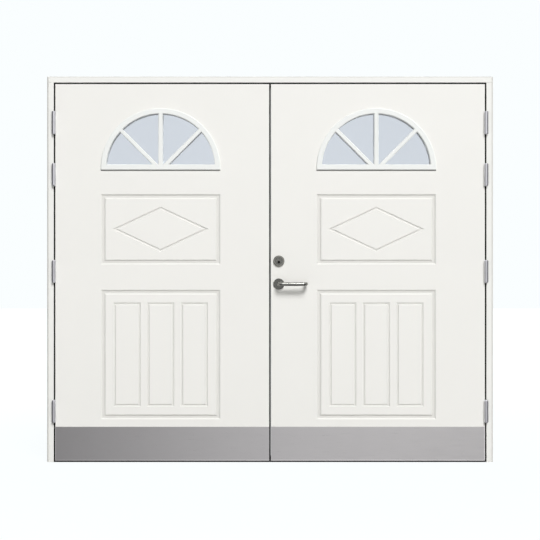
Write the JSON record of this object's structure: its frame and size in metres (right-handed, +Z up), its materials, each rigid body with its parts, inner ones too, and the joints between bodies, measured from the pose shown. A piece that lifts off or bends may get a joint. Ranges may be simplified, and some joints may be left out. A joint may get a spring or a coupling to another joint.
{
  "type": "side-hung double garage door",
  "caption": "White double-leaf garage door in its timber frame, with half-round fan windows, routed panels and steel kick plates.",
  "frame": {"origin": "middle of the threshold's underside, at half the depth of the frame", "axes": "+X to the right seen from outside, +Y into the garage, +Z up"},
  "size_m": [2.39, 0.185, 2.066],
  "materials": {
    "frame_paint": "satin",
    "leaf_paint": "satin",
    "inner_paint": "satin",
    "edge_paint": "satin",
    "window_paint": "satin",
    "bare_timber": "matte",
    "insulation": "matte",
    "window_glass": "gloss",
    "spacer_metal": "satin",
    "kick_steel": "satin",
    "seal_rubber": "matte",
    "gasket_rubber": "matte",
    "threshold_metal": "satin",
    "hinge_steel": "satin",
    "zinc_steel": "satin",
    "forend_steel": "satin",
    "bolt_steel": "satin",
    "handle_steel": "satin",
    "cylinder_metal": "satin",
    "ring_metal": "polished",
    "plug_metal": "satin"
  },
  "bodies": {
    "frame": {"frame_head": "frame_paint", "frame_jamb_left": "frame_paint", "frame_jamb_right": "frame_paint", "frame_stops": "frame_paint", "threshold": "threshold_metal", "threshold_foot": "threshold_metal", "frame_gasket": "gasket_rubber", "top_bolt_keep": "zinc_steel", "left_hinge_frame_halves": "hinge_steel", "right_hinge_frame_halves": "hinge_steel"},
    "left_leaf": {"left_outer_skin": "leaf_paint", "left_inner_skin": "inner_paint", "left_meeting_stile": "edge_paint", "left_hinge_stile": "edge_paint", "left_top_rail": "edge_paint", "left_middle_rail": "bare_timber", "left_bottom_rail": "edge_paint", "left_window_lining": "bare_timber", "left_core": "insulation", "left_fan_frame_outside": "window_paint", "left_fan_frame_inside": "window_paint", "left_glass_panes": "window_glass", "left_glass_spacer": "spacer_metal", "left_kick_plate": "kick_steel", "left_leaf_seal": "seal_rubber", "left_hinge_leaf_halves": "hinge_steel", "strike_plate": "forend_steel", "top_bolt_bracket": "zinc_steel", "bottom_bolt_bracket": "zinc_steel"},
    "right_leaf": {"right_outer_skin": "leaf_paint", "right_inner_skin": "inner_paint", "right_meeting_stile": "edge_paint", "right_hinge_stile": "edge_paint", "right_top_rail": "edge_paint", "right_middle_rail": "bare_timber", "right_bottom_rail": "edge_paint", "right_window_lining": "bare_timber", "right_core": "insulation", "right_fan_frame_outside": "window_paint", "right_fan_frame_inside": "window_paint", "right_glass_panes": "window_glass", "right_glass_spacer": "spacer_metal", "right_kick_plate": "kick_steel", "right_leaf_seal": "seal_rubber", "right_hinge_leaf_halves": "hinge_steel", "lock_case": "forend_steel", "lock_cylinder": "cylinder_metal", "cylinder_ring": "ring_metal", "outer_handle_rosette": "handle_steel", "inner_handle_rosette": "handle_steel", "thumb_turn_rosette": "handle_steel"},
    "lever_set": {"outer_lever": "handle_steel", "inner_lever": "handle_steel", "spindle": "zinc_steel"},
    "latch": {"latch_bolt": "bolt_steel"},
    "deadbolt": {"deadbolt": "bolt_steel"},
    "thumb_turn": {"thumb_turn": "handle_steel"},
    "key_plug": {"key_plug": "plug_metal"},
    "top_bolt": {"top_bolt": "zinc_steel"},
    "bottom_bolt": {"bottom_bolt": "zinc_steel"}
  },
  "joints": [
    {"name": "left_leaf_swing", "type": "hinge", "parent": "frame", "child": "left_leaf", "pos_m": [-1.157, -0.0635, 1], "axis": [0, 0, -1], "range_deg": [0, 110]},
    {"name": "right_leaf_swing", "type": "hinge", "parent": "frame", "child": "right_leaf", "pos_m": [1.157, -0.0635, 1], "axis": [0, 0, 1], "range_deg": [0, 110]},
    {"name": "lever_turn", "type": "hinge", "parent": "right_leaf", "child": "lever_set", "pos_m": [0.047, -0.0225, 0.954], "axis": [0, 1, 0], "range_deg": [0, 45], "stiffness_Nm_per_rad": 2.5, "springref_deg": -34.38},
    {"name": "latch_slide", "type": "slide", "parent": "right_leaf", "child": "latch", "axis": [-1, 0, 0], "range_m": [0, 0.018]},
    {"name": "thumb_turn_turn", "type": "hinge", "parent": "right_leaf", "child": "thumb_turn", "pos_m": [0.047, -0.0225, 1.077], "axis": [0, 1, 0], "range_deg": [0, 90]},
    {"name": "deadbolt_slide", "type": "slide", "parent": "right_leaf", "child": "deadbolt", "axis": [-1, 0, 0], "range_m": [0, 0.025]},
    {"name": "key_plug_turn", "type": "hinge", "parent": "right_leaf", "child": "key_plug", "pos_m": [0.047, -0.0225, 1.071], "axis": [0, 1, 0], "range_deg": [0, 90]},
    {"name": "top_bolt_slide", "type": "slide", "parent": "left_leaf", "child": "top_bolt", "axis": [0, 0, 1], "range_m": [0, 0.02]},
    {"name": "bottom_bolt_slide", "type": "slide", "parent": "left_leaf", "child": "bottom_bolt", "axis": [0, 0, -1], "range_m": [0, 0.02]}
  ],
  "couplings": [
    {"joint": "thumb_turn_turn", "follows": "deadbolt_slide", "rad_per_m": 62.832}
  ]
}
